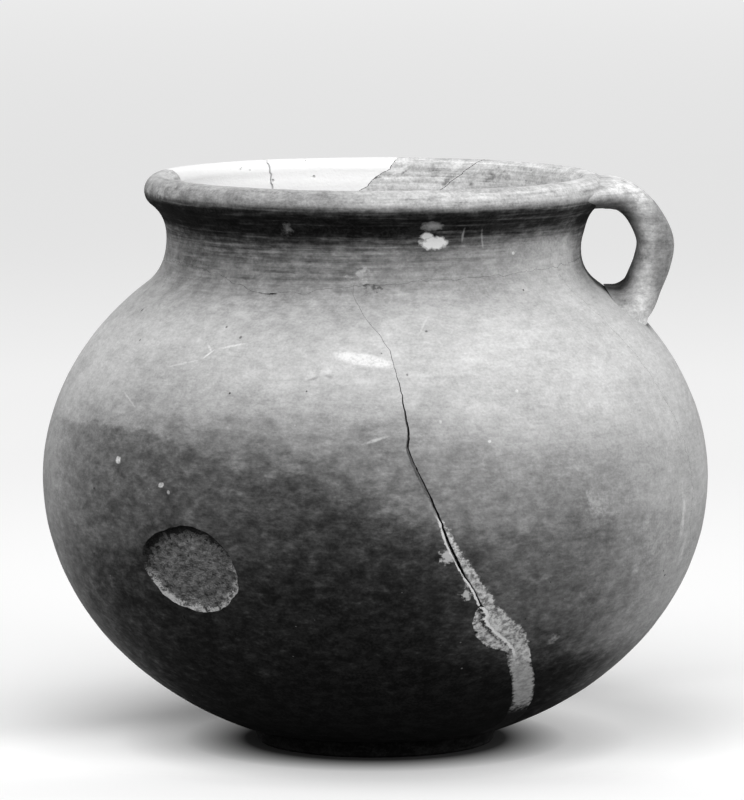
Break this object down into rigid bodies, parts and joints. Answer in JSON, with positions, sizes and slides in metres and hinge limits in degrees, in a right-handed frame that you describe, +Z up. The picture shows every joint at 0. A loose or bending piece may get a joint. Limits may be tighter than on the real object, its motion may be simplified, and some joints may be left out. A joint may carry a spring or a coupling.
{
  "type": "cooking pot",
  "caption": "Round-bellied clay cooking pot on a low disc foot, with a short neck, a rolled lip and one strap handle, mended from sherds with plaster fills.",
  "frame": {"origin": "centre of the foot's flat underside, on the axis of the thrown body", "axes": "+Z up the axis of the body, +X through the handle, -Y the side shown in the picture"},
  "size_m": [0.2, 0.2, 0.171],
  "materials": {
    "clay": "matt, wiped, unglazed",
    "sooted_clay": "matt, unglazed, blackened by soot",
    "plaster": "matt, chalky"
  },
  "bodies": {
    "root": {"foot_sherd": "sooted_clay", "wall_sherd_front_left": "clay", "wall_sherd_front_right": "clay", "wall_sherd_right": "clay", "wall_sherd_back": "clay", "rim_sherd_front": "clay", "rim_sherd_back": "clay", "rim_fill_back": "plaster", "rim_fill_left": "plaster", "crack_fill": "plaster", "handle": "clay"}
  },
  "joints": []
}
